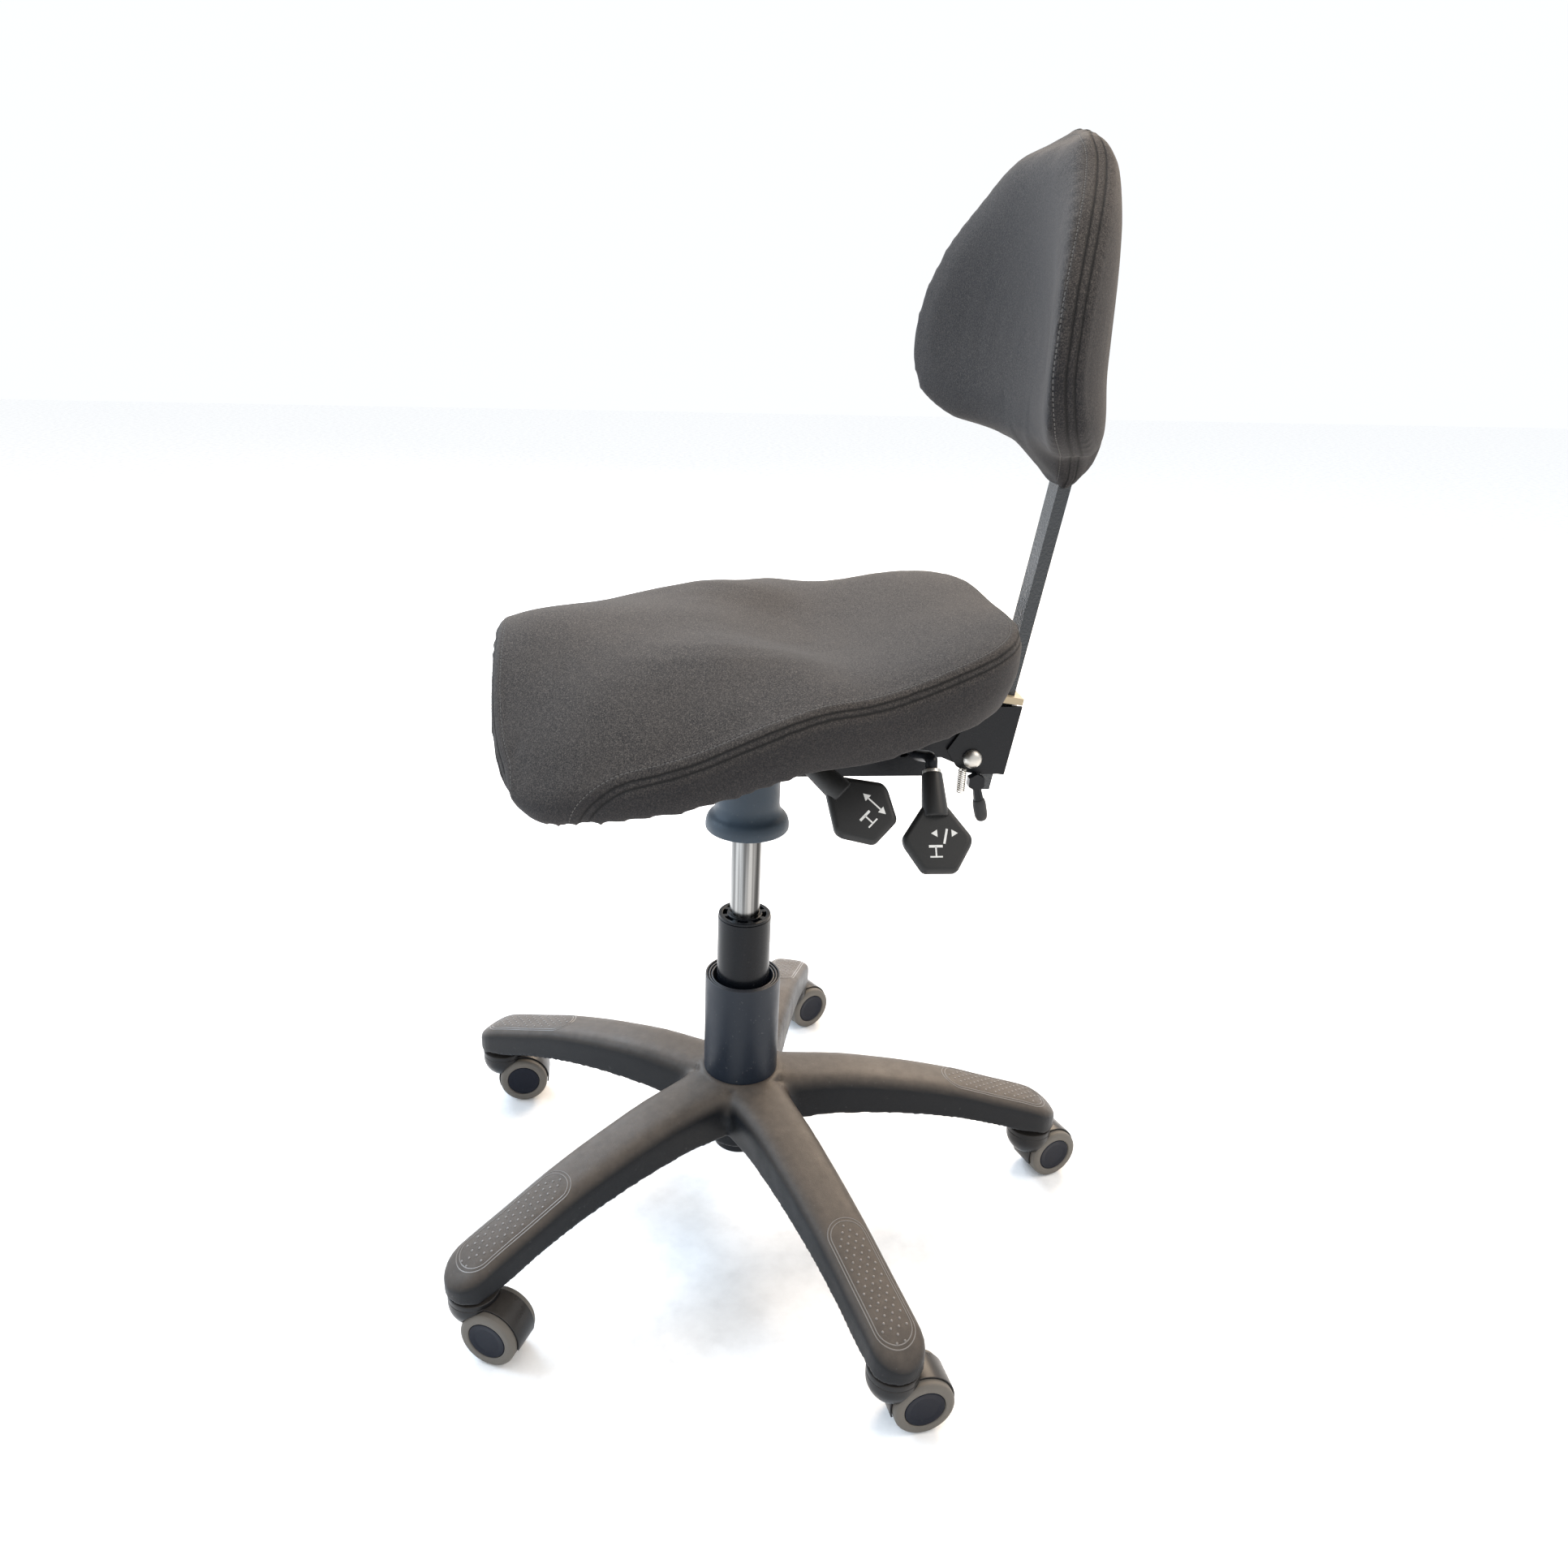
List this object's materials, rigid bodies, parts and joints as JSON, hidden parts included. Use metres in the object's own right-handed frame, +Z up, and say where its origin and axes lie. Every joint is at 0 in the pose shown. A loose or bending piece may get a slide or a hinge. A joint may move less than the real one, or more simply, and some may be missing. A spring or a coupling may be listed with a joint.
{
  "type": "saddle_stool_with_backrest",
  "caption": "Saddle-shaped padded seat with a padded backrest on a flat post, gas lift with telescopic cover sleeves, and a star base on twin-wheel castors.",
  "frame": {"origin": "on the floor, on the lift column's axis", "axes": "+Z up along the lift column; the seat's pommel end faces -Y and the backrest stands at +Y; the two paddle levers are at +X"},
  "size_m": [0.6471, 0.6352, 0.974],
  "materials": {
    "nylon": "satin",
    "gloss_nylon": "satin",
    "sleeve_plastic": "satin",
    "cap_plastic": "satin",
    "tyre": "matte",
    "chrome": "polished",
    "steel": "brushed",
    "coated_steel": "satin",
    "hammered_steel": "hammered",
    "knit": "matte",
    "bush": "satin",
    "rubber": "matte",
    "board": "matte"
  },
  "bodies": {
    "base": {"star_base": "nylon", "column_outer_tube": "coated_steel", "guide_bush": "gloss_nylon", "piston_rod": "steel", "thrust_bearing": "steel", "cover_sleeve_outer": "sleeve_plastic"},
    "sleeve_middle": {"cover_sleeve_middle": "sleeve_plastic"},
    "sleeve_inner": {"cover_sleeve_inner": "sleeve_plastic"},
    "castor_1": {"castor_stem_1": "steel", "castor_hood_1": "gloss_nylon", "castor_axle_1": "steel"},
    "wheel_left_1": {"wheel_left_1": "tyre"},
    "wheel_right_1": {"wheel_right_1": "tyre"},
    "castor_2": {"castor_stem_2": "steel", "castor_hood_2": "gloss_nylon", "castor_axle_2": "steel"},
    "wheel_left_2": {"wheel_left_2": "tyre"},
    "wheel_right_2": {"wheel_right_2": "tyre"},
    "castor_3": {"castor_stem_3": "steel", "castor_hood_3": "gloss_nylon", "castor_axle_3": "steel"},
    "wheel_left_3": {"wheel_left_3": "tyre"},
    "wheel_right_3": {"wheel_right_3": "tyre"},
    "castor_4": {"castor_stem_4": "steel", "castor_hood_4": "gloss_nylon", "castor_axle_4": "steel"},
    "wheel_left_4": {"wheel_left_4": "tyre"},
    "wheel_right_4": {"wheel_right_4": "tyre"},
    "castor_5": {"castor_stem_5": "steel", "castor_hood_5": "gloss_nylon", "castor_axle_5": "steel"},
    "wheel_left_5": {"wheel_left_5": "tyre"},
    "wheel_right_5": {"wheel_right_5": "tyre"},
    "lift": {"gas_cylinder": "chrome"},
    "pin": {"release_pin": "steel"},
    "seat": {"flared_cap": "cap_plastic", "mechanism_housing": "coated_steel", "seat_pan": "board", "seat_cushion": "knit", "seat_bolt_front_right": "steel", "seat_bolt_front_left": "steel", "seat_bolt_rear_right": "steel", "seat_bolt_rear_left": "steel"},
    "height_lever": {"height_lever_rod": "coated_steel", "height_lever_paddle": "gloss_nylon"},
    "tilt_lever": {"tilt_lever_rod": "coated_steel", "tilt_lever_paddle": "gloss_nylon"},
    "back_carrier": {"back_bracket": "coated_steel", "post_guide": "bush", "pivot_bolt": "steel", "pivot_nut": "steel"},
    "lock": {"lock_lever": "coated_steel", "lock_lever_tip": "rubber"},
    "back": {"back_post": "hammered_steel", "back_shell": "board", "back_cushion": "knit"}
  },
  "joints": [
    {"name": "castor_swivel_1", "type": "hinge", "parent": "base", "child": "castor_1", "pos_m": [0.28911, 0.10238, 0.06], "axis": [0, 0, 1], "continuous": true},
    {"name": "wheel_left_spin_1", "type": "hinge", "parent": "castor_1", "child": "wheel_left_1", "pos_m": [0.28576, 0.12453, 0.026], "axis": [-0.9888, -0.1495, 0], "continuous": true},
    {"name": "wheel_right_spin_1", "type": "hinge", "parent": "castor_1", "child": "wheel_right_1", "pos_m": [0.28576, 0.12453, 0.026], "axis": [-0.9888, -0.1495, 0], "continuous": true},
    {"name": "castor_swivel_2", "type": "hinge", "parent": "base", "child": "castor_2", "pos_m": [-0.00803, 0.3066, 0.06], "axis": [0, 0, 1], "continuous": true},
    {"name": "wheel_left_spin_2", "type": "hinge", "parent": "castor_2", "child": "wheel_left_2", "pos_m": [-0.01517, 0.32782, 0.026], "axis": [-0.9478, -0.319, 0], "continuous": true},
    {"name": "wheel_right_spin_2", "type": "hinge", "parent": "castor_2", "child": "wheel_right_2", "pos_m": [-0.01517, 0.32782, 0.026], "axis": [-0.9478, -0.319, 0], "continuous": true},
    {"name": "castor_swivel_3", "type": "hinge", "parent": "base", "child": "castor_3", "pos_m": [-0.29407, 0.08711, 0.06], "axis": [0, 0, 1], "continuous": true},
    {"name": "wheel_left_spin_3", "type": "hinge", "parent": "castor_3", "child": "wheel_left_3", "pos_m": [-0.30537, 0.10645, 0.026], "axis": [-0.8634, -0.5045, 0], "continuous": true},
    {"name": "wheel_right_spin_3", "type": "hinge", "parent": "castor_3", "child": "wheel_right_3", "pos_m": [-0.30537, 0.10645, 0.026], "axis": [-0.8634, -0.5045, 0], "continuous": true},
    {"name": "castor_swivel_4", "type": "hinge", "parent": "base", "child": "castor_4", "pos_m": [-0.17372, -0.25276, 0.06], "axis": [0, 0, 1], "continuous": true},
    {"name": "wheel_left_spin_4", "type": "hinge", "parent": "castor_4", "child": "wheel_left_4", "pos_m": [-0.17391, -0.23036, 0.026], "axis": [-1, -0.0087, 0], "continuous": true},
    {"name": "wheel_right_spin_4", "type": "hinge", "parent": "castor_4", "child": "wheel_right_4", "pos_m": [-0.17391, -0.23036, 0.026], "axis": [-1, -0.0087, 0], "continuous": true},
    {"name": "castor_swivel_5", "type": "hinge", "parent": "base", "child": "castor_5", "pos_m": [0.18671, -0.24332, 0.06], "axis": [0, 0, 1], "continuous": true},
    {"name": "wheel_left_spin_5", "type": "hinge", "parent": "castor_5", "child": "wheel_left_5", "pos_m": [0.19625, -0.22305, 0.026], "axis": [-0.9048, 0.4258, 0], "continuous": true},
    {"name": "wheel_right_spin_5", "type": "hinge", "parent": "castor_5", "child": "wheel_right_5", "pos_m": [0.19625, -0.22305, 0.026], "axis": [-0.9048, 0.4258, 0], "continuous": true},
    {"name": "sleeve_middle_slide", "type": "slide", "parent": "base", "child": "sleeve_middle", "axis": [0, 0, 1], "range_m": [0, 0.08]},
    {"name": "sleeve_inner_slide", "type": "slide", "parent": "base", "child": "sleeve_inner", "axis": [0, 0, 1], "range_m": [0, 0.14]},
    {"name": "lift_slide", "type": "slide", "parent": "base", "child": "lift", "axis": [0, 0, 1], "range_m": [-0.12, 0.06]},
    {"name": "seat_swivel", "type": "hinge", "parent": "lift", "child": "seat", "pos_m": [0, 0, 0.478], "axis": [0, 0, 1], "continuous": true},
    {"name": "height_lever_hinge", "type": "hinge", "parent": "seat", "child": "height_lever", "pos_m": [0.025, 0.025, 0.506], "axis": [0, -1, 0], "range_deg": [0, 4.5], "stiffness_Nm_per_rad": 2},
    {"name": "release_pin_slide", "type": "slide", "parent": "lift", "child": "pin", "axis": [0, 0, 1], "range_m": [-0.005, 0]},
    {"name": "tilt_lever_hinge", "type": "hinge", "parent": "seat", "child": "tilt_lever", "pos_m": [0.025, 0.131, 0.506], "axis": [0, -1, 0], "range_deg": [0, 8], "stiffness_Nm_per_rad": 2},
    {"name": "back_recline", "type": "hinge", "parent": "seat", "child": "back_carrier", "pos_m": [0, 0.197, 0.479], "axis": [1, 0, 0], "range_deg": [-12, 5]},
    {"name": "lock_lever_hinge", "type": "hinge", "parent": "back_carrier", "child": "lock", "pos_m": [0.025, 0.201, 0.459], "axis": [1, 0, 0], "range_deg": [0, 40]},
    {"name": "back_height_slide", "type": "slide", "parent": "back_carrier", "child": "back", "axis": [0, 0.153, 0.9882], "range_m": [-0.09, 0.015]}
  ],
  "couplings": [
    {"joint": "release_pin_slide", "follows": "height_lever_hinge", "m_per_rad": -0.03}
  ]
}
